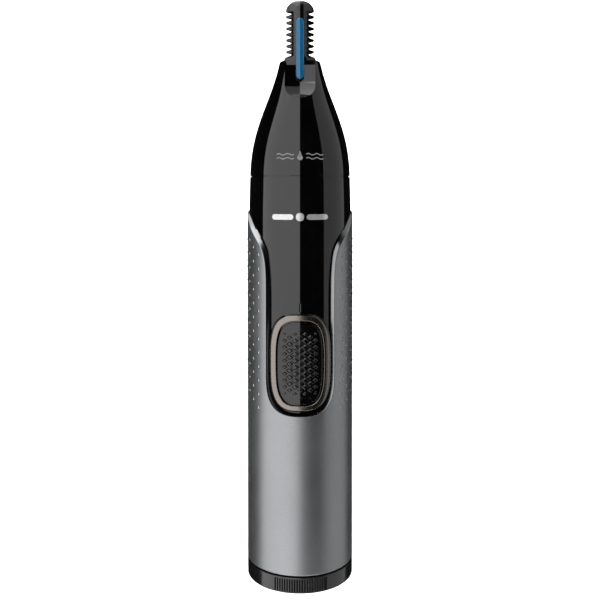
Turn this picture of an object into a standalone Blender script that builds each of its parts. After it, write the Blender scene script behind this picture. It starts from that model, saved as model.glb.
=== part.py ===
"""Nose hair trimmer: an upright, battery driven trimmer standing on its flat battery cap.

The long axis is +Z, the front (switch side) faces -Y and the origin is the middle of the flat base.
Every length is written in millimetres and turned into metres by MM.
"""

import math

import bmesh
import bpy
from mathutils import Matrix, Vector

MM = 0.001
GAP = 0.3                      # clearance left between neighbouring pieces

# Overall stack, base to tip
CAP_TOP = 4.1
SLEEVE_BOTTOM = 4.4
SLEEVE_TOP = 91.0
HOUSING_TOP = 99.15
HEAD_BOTTOM = 99.45
RIM_TOP = 126.0
TIP = 139.9

# Outer radii of the body, which narrows evenly upwards
BASE_RADIUS = 13.25
SLEEVE_TOP_RADIUS = 12.64
NECK_RADIUS = 12.22
NECK_TOP_RADIUS = 11.97
PANEL_BASE_RADIUS = 12.55
SLEEVE_WALL = 1.1
TUBE_BORE = 10.5

# Head cone: a cubic curve of (radius, height) from the seam to the mouth
CONE = ((11.97, 99.3), (11.6, 111.5), (6.9, 116.3), (4.8, 126.0))
MOUTH_BORE = 2.5
MOUTH_SEAT = 3.9
SEAT_DEPTH = 1.4

# Scoops in the cone, one in front and one behind
SCOOP_HALF = 3.55
SCOOP_BOTTOM = 116.9
SCOOP_ROUND = 2.5              # height of the rounded lower end
SCOOP_FLOOR = 3.0              # distance of the flat floor from the axis
SCOOP_FLOOR_BOTTOM = 121.5     # below this the floor curves outwards
SCOOP_MOUTH = 8.2              # where that curve ends

# U-shaped opening in the sleeve
OPENING_HALF = 7.6
OPENING_BOTTOM = 44.2
OPENING_SHOULDER = 78.0
OPENING_FLARE = ((0.0, 78.0), (0.05, 84.3), (0.9, 84.5), (1.0, 91.3))
OPENING_STEP = 0.35            # the panel's edge stays this far inside the opening

# Slide switch
BEZEL = (6.75, 45.2, 67.6)     # half width, bottom, top
PAD = (5.35, 46.4, 65.8)
SHELL_UNDER = 0.3              # underside of both, above the panel
BEZEL_OVER = 0.75
PAD_OVER = 0.55
STEM_WINDOW = (2.4, 50.6, 64.4)

# Comb guard
GAP_COUNT = 8
GAP_TOP = 136.87
GAP_PITCH = 1.326
GAP_HEIGHT = 0.9
GUARD_HALF = 3.33
ROOT_HALF = 1.85
DOME_BOTTOM = 137.3
CORE_DEPTH = ((127.0, 3.1), (137.0, 2.25))   # half depth of the core at two heights
CORE_FALL = 0.3                # how fast the core thins sideways, per square millimetre
WING_DEPTH = 0.65              # half depth of the teeth
SKIRT = (3.7, 3.2, 124.95, 126.1)            # half width, half depth, bottom, top
STEM_RADIUS = 2.2
STEM_BOTTOM = 120.9
STEM_BORE = 1.75
STRIP = (0.95, 121.5, 135.6)   # half width, bottom, top
STRIP_THICKNESS = 0.42
BLADE_HALF = 2.7
BLADE_SLOT = 0.35              # half the slot's depth
BLADE_THICKNESS = 0.13         # half of it

# Drive
STROKE = 0.5                   # each way
CAM_THROW_RADIUS = 3.0
ROD_RADIUS = 1.9
ROD_TIP_RADIUS = 1.4
ROD_TOP = 120.4

# Bayonet between cap and body, angles in degrees
LUG_HALF_ANGLE = 10.0
LUG_REACH = 11.0
LUG_PLAY = 2.0
CAP_TURN = 40.0

# Power pack
CELL_RADIUS = 7.25
CELL_BOTTOM = 6.7
CELL_LENGTH = 49.3
MOTOR_RADIUS = 7.75
MOTOR_BOTTOM = 61.5
MOTOR_TOP = 81.5

PARTS = None
CUTTERS = None
MATERIALS = {}


def clear_scene():
    for item in list(bpy.data.objects):
        bpy.data.objects.remove(item, do_unlink=True)


def make_collections():
    global PARTS, CUTTERS
    PARTS = bpy.data.collections.new("nose_hair_trimmer")
    CUTTERS = bpy.data.collections.new("cutters")
    bpy.context.scene.collection.children.link(PARTS)
    bpy.context.scene.collection.children.link(CUTTERS)


def material(name, colour, roughness, metallic=0.0):
    made = bpy.data.materials.new(name)
    made.use_nodes = True
    shader = made.node_tree.nodes["Principled BSDF"]
    shader.inputs["Base Color"].default_value = (*colour, 1.0)
    shader.inputs["Roughness"].default_value = roughness
    shader.inputs["Metallic"].default_value = metallic
    MATERIALS[name] = made


def make_materials():
    material("silver_lacquer", (0.42, 0.44, 0.45), 0.3, 0.8)
    material("gloss_black", (0.005, 0.005, 0.006), 0.08)
    material("satin_grey", (0.05, 0.052, 0.054), 0.4)
    material("warm_metal", (0.36, 0.33, 0.30), 0.3, 1.0)
    material("blue_plastic", (0.02, 0.19, 0.42), 0.3)
    material("steel", (0.6, 0.6, 0.6), 0.3, 1.0)
    material("nickel", (0.66, 0.63, 0.58), 0.25, 1.0)
    material("white_plastic", (0.75, 0.75, 0.73), 0.45)
    material("black_rubber", (0.01, 0.01, 0.01), 0.7)
    material("magnet", (0.04, 0.04, 0.045), 0.6)
    material("copper", (0.7, 0.3, 0.15), 0.35, 1.0)
    material("cell_label", (0.04, 0.25, 0.12), 0.35, 0.3)


def add_mesh(name, mesh, material_name=None, cutter=False):
    made = bpy.data.objects.new(name, mesh)
    if cutter:
        CUTTERS.objects.link(made)
        made.hide_render = True
        made.display_type = "WIRE"
    else:
        PARTS.objects.link(made)
        made.data.materials.append(MATERIALS[material_name])
        made.data.shade_smooth()
        made.data.set_sharp_from_angle(angle=math.radians(35))
    return made


def mesh_from(name, source):
    mesh = bpy.data.meshes.new(name)
    source.to_mesh(mesh)
    source.free()
    return mesh


def turned(name, profile, material_name=None, cutter=False, steps=64):
    """A turned solid whose profile is a closed loop of (radius, height)."""
    work = bmesh.new()
    points = [work.verts.new((r * MM, 0.0, z * MM)) for r, z in profile]
    for first, second in zip(points, points[1:] + points[:1]):
        work.edges.new((first, second))
    edges = list(work.edges)
    bmesh.ops.spin(
        work,
        geom=points + edges,
        axis=(0.0, 0.0, 1.0),
        cent=(0.0, 0.0, 0.0),
        steps=steps,
        angle=math.tau,
        use_merge=True,
    )
    bmesh.ops.remove_doubles(work, verts=work.verts, dist=1e-7)
    bmesh.ops.recalc_face_normals(work, faces=work.faces)
    return add_mesh(name, mesh_from(name, work), material_name, cutter)


def cylinder(name, radius, bottom, top, material_name=None, cutter=False, at=(0.0, 0.0), sides=32):
    work = bmesh.new()
    bmesh.ops.create_cone(
        work,
        cap_ends=True,
        segments=sides,
        radius1=radius * MM,
        radius2=radius * MM,
        depth=(top - bottom) * MM,
        matrix=Matrix.Translation((at[0] * MM, at[1] * MM, (bottom + top) / 2 * MM)),
    )
    return add_mesh(name, mesh_from(name, work), material_name, cutter)


def box(name, low, high, material_name=None, cutter=False):
    size = Vector(high) - Vector(low)
    middle = (Vector(high) + Vector(low)) / 2
    work = bmesh.new()
    bmesh.ops.create_cube(
        work,
        size=1.0,
        matrix=Matrix.Translation(middle * MM) @ Matrix.Diagonal((*(size * MM), 1.0)),
    )
    return add_mesh(name, mesh_from(name, work), material_name, cutter)


def prism(name, outline, near, far, material_name=None, cutter=False):
    """An (x, z) outline carried along Y from near to far."""
    work = bmesh.new()
    ring = [work.verts.new((x * MM, near * MM, z * MM)) for x, z in outline]
    face = work.faces.new(ring)
    pushed = bmesh.ops.extrude_face_region(work, geom=[face])
    moved = [item for item in pushed["geom"] if isinstance(item, bmesh.types.BMVert)]
    bmesh.ops.translate(work, verts=moved, vec=(0.0, (far - near) * MM, 0.0))
    bmesh.ops.recalc_face_normals(work, faces=work.faces)
    return add_mesh(name, mesh_from(name, work), material_name, cutter)


def loft(name, rings, material_name=None, cutter=False):
    """A solid through rings of equal count, closed with a face at each end."""
    work = bmesh.new()
    rows = [[work.verts.new(Vector(point) * MM) for point in ring] for ring in rings]
    count = len(rows[0])
    for lower, upper in zip(rows, rows[1:]):
        for index in range(count):
            after = (index + 1) % count
            work.faces.new((lower[index], lower[after], upper[after], upper[index]))
    work.faces.new(rows[0])
    work.faces.new(rows[-1])
    bmesh.ops.triangulate(work, faces=work.faces)
    bmesh.ops.recalc_face_normals(work, faces=work.faces)
    return add_mesh(name, mesh_from(name, work), material_name, cutter)


def boolean(target, cutter, operation="DIFFERENCE"):
    modifier = target.modifiers.new(operation.lower() + "_" + cutter.name, "BOOLEAN")
    modifier.operation = operation
    modifier.solver = "EXACT"
    modifier.object = cutter
    return modifier


# Profiles ---------------------------------------------------------------------------------------


def blend(a, b, t):
    return a + (b - a) * t


def sleeve_radius(z):
    return blend(BASE_RADIUS, SLEEVE_TOP_RADIUS, (z - CAP_TOP) / (SLEEVE_TOP - CAP_TOP))


def panel_radius(z):
    return blend(PANEL_BASE_RADIUS, NECK_RADIUS, (z - OPENING_BOTTOM) / (SLEEVE_TOP - OPENING_BOTTOM))


def cubic(handles, count):
    """Points along a cubic curve given by its two ends and two handles."""
    points = []
    for index in range(count + 1):
        t = index / count
        weights = ((1 - t) ** 3, 3 * t * (1 - t) ** 2, 3 * t * t * (1 - t), t ** 3)
        first = sum(w * p[0] for w, p in zip(weights, handles))
        second = sum(w * p[1] for w, p in zip(weights, handles))
        points.append((first, second))
    return points


def opening_outline(half, bottom, grow=0.0):
    """Right half of the U first, from its bottom round to the flared top, then the mirror of it."""
    half = half + grow
    bottom = bottom - grow
    right = []
    for step in range(11):
        angle = math.radians(9 * step)
        x = half * math.sin(angle) ** 0.8
        z = bottom + half * 0.95 * (1 - math.cos(angle) ** 0.8)
        right.append((x, z))
    right.append((half, OPENING_SHOULDER - grow))
    for share, z in cubic(OPENING_FLARE, 8)[1:]:
        right.append((blend(half, 12.45 + grow, share), z))
    right.append((13.6, SLEEVE_TOP + 3.0))
    return right + [(-x, z) for x, z in reversed(right) if x > 1e-6]


def barrel_outline(half, bottom, top, per_quarter=7):
    """A rounded outline, flat sided in the middle and nearly elliptic at its ends."""
    middle = (bottom + top) / 2
    reach = (top - bottom) / 2
    points = []
    for index in range(4 * per_quarter):
        angle = math.tau * index / (4 * per_quarter)
        s = math.sin(angle)
        c = math.cos(angle)
        x = half * math.copysign(abs(s) ** 0.62, s)
        z = middle + reach * math.copysign(abs(c) ** 0.8, c)
        points.append((x, z))
    return points


def rounded_section(half_x, half_y, z, count=24, power=0.8):
    ring = []
    for index in range(count):
        angle = math.tau * (index + 0.5) / count
        c = math.cos(angle)
        s = math.sin(angle)
        x = half_x * math.copysign(abs(c) ** power, c)
        y = half_y * math.copysign(abs(s) ** power, s)
        ring.append((x, y, z))
    return ring


# Casing -----------------------------------------------------------------------------------------


def make_grip_sleeve():
    inner = sleeve_radius(SLEEVE_BOTTOM) - SLEEVE_WALL
    inner_top = sleeve_radius(SLEEVE_TOP) - SLEEVE_WALL
    profile = [
        (sleeve_radius(SLEEVE_BOTTOM), SLEEVE_BOTTOM + 0.2),
        (sleeve_radius(SLEEVE_TOP), SLEEVE_TOP - 1.0),
        (SLEEVE_TOP_RADIUS - 0.25, SLEEVE_TOP),
        (inner_top, SLEEVE_TOP),
        (inner, SLEEVE_BOTTOM),
        (sleeve_radius(SLEEVE_BOTTOM) - 0.2, SLEEVE_BOTTOM),
    ]
    sleeve = turned("grip_sleeve", profile, "silver_lacquer", steps=72)
    outline = opening_outline(OPENING_HALF, OPENING_BOTTOM)
    boolean(sleeve, prism("sleeve_opening", outline, -16.0, -1.0, cutter=True))


def sleeve_clearance():
    """The room taken by the sleeve, cleared out of the housing everywhere but behind the opening."""
    inner = sleeve_radius(SLEEVE_BOTTOM) - SLEEVE_WALL - GAP
    inner_top = sleeve_radius(SLEEVE_TOP) - SLEEVE_WALL - GAP
    profile = [
        (16.0, 2.0),
        (16.0, SLEEVE_TOP + GAP),
        (inner_top, SLEEVE_TOP + GAP),
        (inner, 2.0),
    ]
    room = turned("sleeve_room", profile, cutter=True, steps=72)
    outline = opening_outline(OPENING_HALF, OPENING_BOTTOM, -OPENING_STEP)
    boolean(room, prism("panel_keep", outline, -17.0, -1.5, cutter=True))
    return room


def ring_sector(name, inner, outer, bottom, top, start, end):
    """A cutter shaped as part of a thick ring, between two angles in degrees."""
    count = max(4, int((end - start) / 6))
    work = bmesh.new()
    rows = []
    for index in range(count + 1):
        angle = math.radians(blend(start, end, index / count))
        c = math.cos(angle)
        s = math.sin(angle)
        corners = ((inner, bottom), (outer, bottom), (outer, top), (inner, top))
        rows.append([work.verts.new((r * c * MM, r * s * MM, z * MM)) for r, z in corners])
    for first, second in zip(rows, rows[1:]):
        for index in range(4):
            after = (index + 1) % 4
            work.faces.new((first[index], first[after], second[after], second[index]))
    work.faces.new(rows[0])
    work.faces.new(rows[-1])
    bmesh.ops.recalc_face_normals(work, faces=work.faces)
    return add_mesh(name, mesh_from(name, work), cutter=True)


def make_body_housing():
    low = panel_radius(SLEEVE_BOTTOM)
    profile = [
        (low, SLEEVE_BOTTOM + 0.2),
        (panel_radius(SLEEVE_TOP), SLEEVE_TOP),
        (NECK_RADIUS, SLEEVE_TOP + 1.0),
        (NECK_TOP_RADIUS, HOUSING_TOP),
        (TUBE_BORE, HOUSING_TOP),
        (TUBE_BORE, SLEEVE_BOTTOM + 0.2),
    ]
    housing = turned("body_housing", profile, "gloss_black", steps=72)
    boolean(housing, sleeve_clearance())
    half, bottom, top = STEM_WINDOW
    window = [(-half, bottom), (half, bottom), (half, top), (-half, top)]
    boolean(housing, prism("switch_window", window, -15.0, -8.0, cutter=True))
    for side in (0.0, 180.0):
        name = "bayonet_groove_%d" % side
        start = side - LUG_HALF_ANGLE - LUG_PLAY
        end = side + CAP_TURN + LUG_HALF_ANGLE + LUG_PLAY
        boolean(housing, ring_sector(name, 10.2, LUG_REACH + GAP, 6.2, 8.4, start, end))
        entry = ring_sector(
            "bayonet_entry_%d" % side,
            10.1,
            LUG_REACH + GAP + 0.05,
            3.8,
            7.4,
            side + CAP_TURN - LUG_HALF_ANGLE - LUG_PLAY,
            end + 0.7,
        )
        boolean(housing, entry)


def make_battery_cap():
    spigot = TUBE_BORE - GAP
    bore = 9.3
    profile = [
        (0.0, 0.0),
        (BASE_RADIUS - 0.55, 0.0),
        (BASE_RADIUS - 0.16, 0.15),
        (BASE_RADIUS, 0.55),
        (BASE_RADIUS, CAP_TOP - 0.15),
        (BASE_RADIUS - 0.15, CAP_TOP),
        (spigot, CAP_TOP),
        (spigot, 9.4),
        (bore, 9.4),
        (bore, 1.6),
        (0.0, 1.6),
    ]
    cap = turned_solid("battery_cap", profile, "satin_grey", steps=72)
    for side in (0.0, 180.0):
        lug = ring_sector(
            "cap_lug_%d" % side,
            spigot - 0.5,
            LUG_REACH,
            6.5,
            8.1,
            side - LUG_HALF_ANGLE,
            side + LUG_HALF_ANGLE,
        )
        boolean(cap, lug, "UNION")


def turned_solid(name, profile, material_name=None, cutter=False, steps=64):
    """A turned solid whose open profile starts and ends on the axis."""
    work = bmesh.new()
    points = [work.verts.new((r * MM, 0.0, z * MM)) for r, z in profile]
    edges = [work.edges.new(pair) for pair in zip(points, points[1:])]
    bmesh.ops.spin(
        work,
        geom=points + edges,
        axis=(0.0, 0.0, 1.0),
        cent=(0.0, 0.0, 0.0),
        steps=steps,
        angle=math.tau,
        use_merge=True,
    )
    bmesh.ops.remove_doubles(work, verts=work.verts, dist=1e-7)
    bmesh.ops.recalc_face_normals(work, faces=work.faces)
    return add_mesh(name, mesh_from(name, work), material_name, cutter)


# Head -------------------------------------------------------------------------------------------


def make_head_shell():
    outer = [point for point in cubic(CONE, 12) if point[1] > HEAD_BOTTOM]
    inner = [
        (MOUTH_SEAT, RIM_TOP),
        (MOUTH_SEAT, RIM_TOP - SEAT_DEPTH),
        (MOUTH_BORE, RIM_TOP - SEAT_DEPTH),
        (MOUTH_BORE, 116.6),
        (5.4, 114.0),
        (8.6, 108.0),
        (9.2, 103.0),
        (9.0, 97.0),
    ]
    spigot = TUBE_BORE - 0.4
    profile = [(NECK_TOP_RADIUS, HEAD_BOTTOM)] + outer[:-1]
    profile += [(4.92, 125.6), (4.72, RIM_TOP)]
    profile += inner
    profile += [
        (spigot, 97.0),
        (spigot, 97.5),
        (9.4, 97.5),
        (9.4, 98.9),
        (spigot, 98.9),
        (spigot, HEAD_BOTTOM),
    ]
    head = turned("head_shell", profile, "gloss_black", steps=48)
    for side in (-1, 1):
        boolean(head, scoop_cutter(side))


def scoop_half_width(z):
    share = min(1.0, max(0.0, (SCOOP_BOTTOM + SCOOP_ROUND - z) / SCOOP_ROUND))
    return SCOOP_HALF * (1 - share ** 2.2) ** (1 / 2.2)


def scoop_floor(z):
    rise = SCOOP_FLOOR_BOTTOM - SCOOP_BOTTOM
    share = min(1.0, max(0.0, (SCOOP_FLOOR_BOTTOM - z) / rise))
    return SCOOP_MOUTH - (SCOOP_MOUTH - SCOOP_FLOOR) * math.sqrt(1 - share ** 2)


def scoop_cutter(side):
    """A groove with straight sides, a rounded lower end and a floor that curves out below."""
    rings = []
    for step in range(12):
        share = math.sin(math.radians(4 + 86 * step / 11))
        z = SCOOP_FLOOR_BOTTOM - (SCOOP_FLOOR_BOTTOM - SCOOP_BOTTOM) * math.sqrt(1 - share ** 2)
        half = scoop_half_width(z)
        rings.append(scoop_ring(half, side * scoop_floor(z), side * 14.0, z))
    rings.append(scoop_ring(SCOOP_HALF, side * SCOOP_FLOOR, side * 14.0, RIM_TOP + 2.0))
    return loft("scoop_%s" % ("front" if side < 0 else "rear"), rings, cutter=True)


def scoop_ring(half, floor, outside, z):
    return [(-half, outside, z), (-half, floor, z), (half, floor, z), (half, outside, z)]


def make_head_seal():
    """An O-ring lying in the spigot's groove."""
    profile = []
    for corner in range(6):
        turn = -math.tau * corner / 6
        profile.append((9.85 + 0.38 * math.cos(turn), 98.2 + 0.38 * math.sin(turn)))
    turned("head_seal_ring", profile, "black_rubber", steps=36)


def guard_half_depth(z):
    (low, deep), (high, shallow) = CORE_DEPTH
    return blend(deep, shallow, (z - low) / (high - low))


def guard_section(half, depth, wing, z, count=24):
    """A core that thins sideways into two thin wings, as a ring of points."""
    ring = []
    edge = math.cos(math.pi / count)
    for index in range(count):
        angle = math.tau * (index + 0.5) / count
        x = half * math.cos(angle) / edge
        y = max(wing, depth - CORE_FALL * x * x)
        ring.append((x, math.copysign(y, math.sin(angle)), z))
    return ring


def gap_outline(half, inner, height, z, side):
    """One comb gap: a slot with a round root, open at the edge."""
    points = []
    for step in range(5):
        angle = math.radians(90 + 45 * step)
        x = inner + height / 2 + height / 2 * math.cos(angle)
        points.append((side * x, z + height / 2 * math.sin(angle)))
    points.append((side * half, z - height / 2))
    points.append((side * half, z + height / 2))
    return points


def cut_gaps(target, inner, half, height, deep):
    for index in range(GAP_COUNT):
        z = GAP_TOP - GAP_PITCH * index
        for side in (-1, 1):
            name = "%s_gap_%d_%s" % (target.name, index, "left" if side < 0 else "right")
            outline = gap_outline(half, inner, height, z, side)
            boolean(target, prism(name, outline, -deep, deep, cutter=True))


def make_comb_guard():
    skirt_x, skirt_y, skirt_bottom, skirt_top = SKIRT
    neck = skirt_top + 1.3
    rings = [
        rounded_section(STEM_RADIUS, STEM_RADIUS, STEM_BOTTOM, power=1.0),
        rounded_section(STEM_RADIUS, STEM_RADIUS, skirt_bottom - 0.05, power=1.0),
        rounded_section(skirt_x, skirt_y, skirt_bottom, power=0.95),
        rounded_section(skirt_x, skirt_y, skirt_top, power=0.95),
        guard_section(GUARD_HALF, guard_half_depth(neck), WING_DEPTH, neck),
        guard_section(GUARD_HALF, guard_half_depth(DOME_BOTTOM), WING_DEPTH, DOME_BOTTOM),
    ]
    for step in range(1, 6):
        angle = math.radians(17 * step)
        size = math.cos(angle)
        z = DOME_BOTTOM + (TIP - DOME_BOTTOM) * math.sin(angle) / math.sin(math.radians(85))
        depth = guard_half_depth(DOME_BOTTOM) * size
        rings.append(guard_section(GUARD_HALF * size, depth, WING_DEPTH * size, z))
    guard = loft("comb_guard", rings, "gloss_black")
    slot_bottom = skirt_top + 0.5
    low = (-5.0, -BLADE_SLOT, slot_bottom)
    high = (5.0, BLADE_SLOT, DOME_BOTTOM + 0.6)
    boolean(guard, box("blade_slot", low, high, cutter=True))
    boolean(guard, cylinder("guard_bore", STEM_BORE, 110.0, slot_bottom + 0.1, cutter=True))
    cut_gaps(guard, ROOT_HALF, 4.2, GAP_HEIGHT, 4.6)


def make_guard_strip(side):
    """Blue insert lying along the guard and hanging over the scoop."""
    half_width, bottom, top = STRIP
    rings = []
    for step in range(9):
        z = blend(bottom, top, step / 8)
        reach = min(z - bottom, top - z)
        half = half_width * min(1.0, 0.45 + 0.7 * reach)
        back = guard_half_depth(z) + GAP
        front = back + STRIP_THICKNESS
        shoulder = back + STRIP_THICKNESS / 2
        rings.append(
            [
                (-half, side * back, z),
                (half, side * back, z),
                (half, side * shoulder, z),
                (0.0, side * front, z),
                (-half, side * shoulder, z),
            ]
        )
    loft("guard_strip_%s" % ("front" if side < 0 else "rear"), rings, "blue_plastic")


# Cutting drive ----------------------------------------------------------------------------------


def make_moving_blade():
    """Right half of the outline from the tongue up to the top corner, then the mirror of it."""
    top = DOME_BOTTOM
    right = [
        (0.85, 117.2),
        (0.85, 126.2),
        (1.7, 127.1),
        (BLADE_HALF, 127.4),
        (BLADE_HALF, top - 0.7),
        (BLADE_HALF - 0.7, top),
    ]
    outline = right + [(-x, z) for x, z in reversed(right)]
    blade = prism("moving_blade", outline, -BLADE_THICKNESS, BLADE_THICKNESS, "steel")
    cut_gaps(blade, ROOT_HALF - 0.4, 4.2, GAP_HEIGHT - 0.1, 0.8)


def make_blade_carrier():
    profile = [
        (0.0, ROD_TOP),
        (ROD_TIP_RADIUS, ROD_TOP),
        (ROD_TIP_RADIUS, 113.5),
        (ROD_RADIUS, 112.5),
        (ROD_RADIUS, 92.0),
        (5.2, 92.0),
        (5.2, 91.0),
        (0.0, 91.0),
    ]
    carrier = turned_solid("blade_carrier", profile, "white_plastic", steps=32)
    slot = box("tongue_slot", (-2.0, -0.4, 116.9), (2.0, 0.4, ROD_TOP + 0.6), cutter=True)
    boolean(carrier, slot)
    foot = cylinder("follower_foot", 0.8, 90.0, 91.5, cutter=True, at=(CAM_THROW_RADIUS, 0.0), sides=16)
    boolean(carrier, foot, "UNION")


def make_drive_deck():
    profile = [(10.0, 95.4), (10.0, 96.7), (2.3, 96.7), (2.3, 95.4)]
    turned("head_bottom_plate", profile, "white_plastic", steps=48)


def helix(name, radius, wire, bottom, top, turns, material_name):
    data = bpy.data.curves.new(name, "CURVE")
    data.dimensions = "3D"
    data.bevel_depth = wire * MM
    data.bevel_resolution = 1
    data.use_fill_caps = True
    data.render_resolution_u = 0
    spline = data.splines.new("POLY")
    count = int(turns * 14)
    spline.points.add(count)
    for index in range(count + 1):
        t = index / count
        angle = math.tau * turns * t
        x = radius * math.cos(angle)
        y = radius * math.sin(angle)
        spline.points[index].co = (x * MM, y * MM, blend(bottom, top, t) * MM, 1.0)
    made = bpy.data.objects.new(name, data)
    made.data.materials.append(MATERIALS[material_name])
    PARTS.objects.link(made)


def make_drive_cam():
    cam = cylinder("drive_cam", 4.0, 84.6, 90.0, "white_plastic", sides=40)
    slope = STROKE / CAM_THROW_RADIUS
    rise = 12.0 * slope
    wedge = [(-12.0, 88.5 + rise), (12.0, 88.5 - rise), (12.0, 95.0), (-12.0, 95.0)]
    boolean(cam, prism("cam_slope", wedge, -6.0, 6.0, cutter=True))
    boolean(cam, cylinder("cam_bore", 1.3, 84.0, 87.0, cutter=True, sides=24))


def make_motor():
    wall = 0.55
    can = [
        (MOTOR_RADIUS, MOTOR_BOTTOM + 1.9),
        (MOTOR_RADIUS, MOTOR_TOP - 0.4),
        (MOTOR_RADIUS - 0.4, MOTOR_TOP),
        (3.0, MOTOR_TOP),
        (3.0, MOTOR_TOP + 1.2),
        (1.3, MOTOR_TOP + 1.2),
        (1.3, MOTOR_TOP - wall),
        (MOTOR_RADIUS - wall, MOTOR_TOP - wall),
        (MOTOR_RADIUS - wall, MOTOR_BOTTOM + 1.9),
    ]
    turned("motor_can", can, "nickel", steps=48)
    end = [
        (MOTOR_RADIUS - 0.1, MOTOR_BOTTOM),
        (MOTOR_RADIUS - 0.1, MOTOR_BOTTOM + 1.6),
        (1.3, MOTOR_BOTTOM + 1.6),
        (1.3, MOTOR_BOTTOM),
    ]
    end_cap = turned("motor_end_cap", end, "satin_grey", steps=48)
    for side in (-1, 1):
        cutter = box(
            "terminal_hole_%d" % side,
            (side * 4.5 - 1.1, -0.5, 60.0),
            (side * 4.5 + 1.1, 0.5, 64.0),
            cutter=True,
        )
        boolean(end_cap, cutter)
    for side, label in ((-1, "left"), (1, "right")):
        box(
            "motor_terminal_" + label,
            (side * 4.5 - 0.8, -0.2, 60.7),
            (side * 4.5 + 0.8, 0.2, 63.6),
            "copper",
        )
    for start, label in ((-65.0, "right"), (115.0, "left")):
        magnet = ring_sector("magnet_" + label, 5.4, 6.9, 65.2, 79.2, start, start + 130.0)
        make_visible(magnet, "motor_magnet_" + label, "magnet")


def make_visible(made, name, material_name):
    CUTTERS.objects.unlink(made)
    PARTS.objects.link(made)
    made.name = name
    made.hide_render = False
    made.display_type = "TEXTURED"
    made.data.materials.append(MATERIALS[material_name])


def make_bulkhead():
    """Closes the body above the motor, with a lip seal round the shaft."""
    plate = [(10.2, 83.0), (10.2, 84.2), (2.9, 84.2), (2.9, 83.0)]
    turned("motor_bulkhead", plate, "satin_grey", steps=48)
    seal = [(2.6, 83.1), (2.6, 84.1), (1.15, 84.1), (1.15, 83.1)]
    turned("shaft_seal", seal, "black_rubber", steps=24)


def make_rotor():
    cylinder("motor_shaft", 1.0, 61.8, 86.7, "steel", sides=24)
    armature = [(4.7, 66.5), (4.7, 78.0), (1.3, 78.0), (1.3, 66.5)]
    core = turned("motor_armature", armature, "copper", steps=36)
    for index in range(3):
        angle = math.tau * index / 3
        cutter = box("armature_slot_%d" % index, (2.8, -0.6, 65.0), (6.0, 0.6, 80.0), cutter=True)
        cutter.rotation_euler = (0.0, 0.0, angle)
        boolean(core, cutter)


# Power pack -------------------------------------------------------------------------------------


def make_cell():
    top = CELL_BOTTOM + CELL_LENGTH
    profile = [
        (0.0, CELL_BOTTOM),
        (CELL_RADIUS - 0.6, CELL_BOTTOM),
        (CELL_RADIUS, CELL_BOTTOM + 0.5),
        (CELL_RADIUS, top - 0.6),
        (CELL_RADIUS - 0.6, top),
        (2.75, top),
        (2.75, top + 1.2),
        (0.0, top + 1.2),
    ]
    turned_solid("battery_cell", profile, "cell_label", steps=48)


def make_chassis():
    start = 12.0
    tray = ring_sector("chassis_tray", 8.1, 9.2, 11.0, 82.6, start, 180.0 - start)
    make_visible(tray, "inner_chassis", "white_plastic")
    boolean(tray, cylinder("chassis_shelf", 8.9, 59.2, 60.4, cutter=True, sides=48), "UNION")
    for side in (-1, 1):
        slot = box(
            "shelf_slot_%d" % side,
            (side * 4.5 - 1.2, -0.8, 58.5),
            (side * 4.5 + 1.2, 0.8, 61.0),
            cutter=True,
        )
        boolean(tray, slot)
    boolean(tray, box("shelf_front", (-9.5, -9.5, 58.5), (9.5, -7.6, 61.0), cutter=True))


def make_contacts():
    cylinder("positive_contact", 4.4, 57.5, 57.9, "nickel", sides=32)
    strip = box("negative_contact_strip", (-2.0, 9.5, 9.8), (2.0, 9.8, 70.0), "nickel")
    boolean(strip, box("strip_foot", (-1.5, 9.05, 9.9), (1.5, 9.6, 10.2), cutter=True), "UNION")
    box("switch_fixed_contact", (-1.6, -8.15, 60.9), (1.6, -7.95, 72.0), "nickel")
    plate = cylinder("cap_contact_plate", 8.6, 1.9, 2.2, "nickel", sides=40)
    finger = box("plate_finger", (-1.5, 8.1, 2.0), (1.5, 8.4, 10.4), cutter=True)
    boolean(plate, finger, "UNION")
    helix("battery_spring", 5.0, 0.35, 2.85, 6.05, 3.5, "steel")


# Slide switch -----------------------------------------------------------------------------------


def switch_shell(name, over, outline, material_name):
    """A piece of a cylinder wall, following the panel, trimmed to an outline."""
    bottom = BEZEL[1] - 1.2
    top = BEZEL[2] + 1.4
    profile = [
        (panel_radius(bottom) + over, bottom),
        (panel_radius(top) + over, top),
        (panel_radius(top) + SHELL_UNDER, top),
        (panel_radius(bottom) + SHELL_UNDER, bottom),
    ]
    shell = turned(name, profile, material_name, steps=96)
    trim = prism(name + "_trim", outline, -16.0, -6.0, cutter=True)
    boolean(shell, trim, "INTERSECT")
    return shell


def make_switch():
    play = 0.12
    bezel = switch_shell("button_bezel", BEZEL_OVER, barrel_outline(*BEZEL), "warm_metal")
    half, bottom, top = PAD
    hole = barrel_outline(half + play, bottom - play, top + play)
    boolean(bezel, prism("bezel_hole", hole, -16.0, -6.0, cutter=True))
    outline = barrel_outline(half - play, bottom + play, top - play)
    switch_shell("button_pad", PAD_OVER, outline, "gloss_black")
    slider = box("switch_slider", (-3.5, -9.6, 50.0), (3.5, -8.7, 62.0), "white_plastic")
    stem = box("slider_stem", (-2.0, -12.45, 51.0), (2.0, -9.5, 61.0), cutter=True)
    boolean(slider, stem, "UNION")
    box("switch_moving_contact", (-1.4, -8.55, 49.0), (1.4, -8.3, 60.4), "nickel")


def make_parts():
    make_grip_sleeve()
    make_body_housing()
    make_battery_cap()
    make_head_shell()
    make_head_seal()
    make_comb_guard()
    make_guard_strip(-1)
    make_guard_strip(1)
    make_moving_blade()
    make_blade_carrier()
    make_drive_deck()
    helix("return_spring", 3.4, 0.22, 92.5, 94.9, 3.0, "steel")
    make_drive_cam()
    make_motor()
    make_bulkhead()
    make_rotor()
    make_cell()
    make_chassis()
    make_contacts()
    make_switch()


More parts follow.
